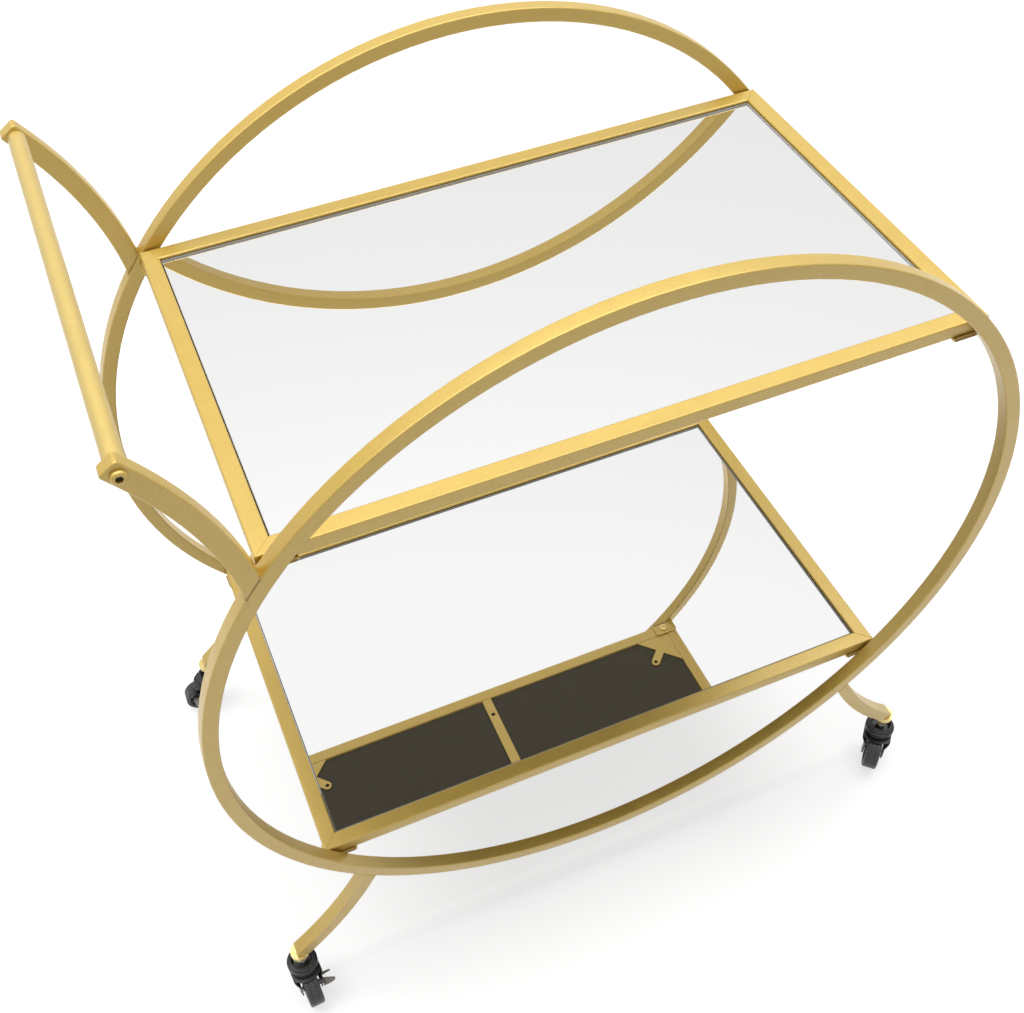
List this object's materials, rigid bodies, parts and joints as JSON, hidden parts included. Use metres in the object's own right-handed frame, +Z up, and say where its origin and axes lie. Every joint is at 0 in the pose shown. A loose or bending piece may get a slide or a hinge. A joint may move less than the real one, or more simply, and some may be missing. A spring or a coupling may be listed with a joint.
{
  "type": "bar cart",
  "caption": "Serving cart with ring-shaped tube side frames, framed mirror shelves, splayed legs on swivel casters and a push handle.",
  "frame": {"origin": "on the floor, midway between the two rings and under their centres", "axes": "+X along the cart away from the handle, +Y from the front ring to the rear ring, +Z up"},
  "size_m": [0.7292, 0.4271, 0.802],
  "materials": {
    "gold": "satin gold",
    "mirror": "silvered glass",
    "board": "dark brown hardboard",
    "brass": "satin",
    "steel": "plated",
    "black_plastic": "satin black",
    "black_steel": "black paint",
    "wheel": "satin black"
  },
  "bodies": {
    "frame": {"ring_front": "gold", "ring_rear": "gold", "handle_arm_front": "gold", "handle_arm_rear": "gold", "handle_bar": "gold", "handle_bolts": "gold", "leg_front_left": "gold", "leg_front_right": "gold", "leg_rear_left": "gold", "leg_rear_right": "gold", "upper_rail_front": "gold", "upper_rail_rear": "gold", "upper_rail_left": "gold", "upper_rail_right": "gold", "upper_gussets": "gold", "upper_brace": "gold", "upper_tabs": "gold", "upper_board": "board", "upper_mirror": "mirror", "lower_rail_front": "gold", "lower_rail_rear": "gold", "lower_rail_left": "gold", "lower_rail_right": "gold", "lower_gussets": "gold", "lower_brace": "gold", "lower_tabs": "gold", "lower_board": "board", "lower_mirror": "mirror", "leg_sockets": "brass", "caster_stems": "steel", "caster_collars": "black_plastic"},
    "caster_front_left": {"fork_front_left": "black_steel"},
    "wheel_front_left": {"wheel_front_left": "wheel"},
    "brake_front_left": {"brake_lever_front_left": "black_steel"},
    "caster_front_right": {"fork_front_right": "black_steel"},
    "wheel_front_right": {"wheel_front_right": "wheel"},
    "caster_rear_left": {"fork_rear_left": "black_steel"},
    "wheel_rear_left": {"wheel_rear_left": "wheel"},
    "brake_rear_left": {"brake_lever_rear_left": "black_steel"},
    "caster_rear_right": {"fork_rear_right": "black_steel"},
    "wheel_rear_right": {"wheel_rear_right": "wheel"}
  },
  "joints": [
    {"name": "front_left_swivel", "type": "hinge", "parent": "frame", "child": "caster_front_left", "pos_m": [-0.3345, -0.17865, 0.0415], "axis": [0, 0, 1], "continuous": true},
    {"name": "front_left_roll", "type": "hinge", "parent": "caster_front_left", "child": "wheel_front_left", "pos_m": [-0.33347, -0.19331, 0.02], "axis": [0.9976, 0.0698, 0], "continuous": true},
    {"name": "front_left_brake", "type": "hinge", "parent": "caster_front_left", "child": "brake_front_left", "pos_m": [-0.33331, -0.19561, 0.0295], "axis": [0.9976, 0.0698, 0], "range_deg": [0, 20]},
    {"name": "front_right_swivel", "type": "hinge", "parent": "frame", "child": "caster_front_right", "pos_m": [0.3345, -0.17865, 0.0415], "axis": [0, 0, 1], "continuous": true},
    {"name": "front_right_roll", "type": "hinge", "parent": "caster_front_right", "child": "wheel_front_right", "pos_m": [0.32447, -0.1894, 0.02], "axis": [0.7314, -0.682, 0], "continuous": true},
    {"name": "rear_left_swivel", "type": "hinge", "parent": "frame", "child": "caster_rear_left", "pos_m": [-0.3345, 0.17865, 0.0415], "axis": [0, 0, 1], "continuous": true},
    {"name": "rear_left_roll", "type": "hinge", "parent": "caster_rear_left", "child": "wheel_rear_left", "pos_m": [-0.3492, 0.17865, 0.02], "axis": [0, -1, 0], "continuous": true},
    {"name": "rear_left_brake", "type": "hinge", "parent": "caster_rear_left", "child": "brake_rear_left", "pos_m": [-0.3515, 0.17865, 0.0295], "axis": [0, -1, 0], "range_deg": [0, 20]},
    {"name": "rear_right_swivel", "type": "hinge", "parent": "frame", "child": "caster_rear_right", "pos_m": [0.3345, 0.17865, 0.0415], "axis": [0, 0, 1], "continuous": true},
    {"name": "rear_right_roll", "type": "hinge", "parent": "caster_rear_right", "child": "wheel_rear_right", "pos_m": [0.3345, 0.19335, 0.02], "axis": [-1, 0, 0], "continuous": true}
  ]
}
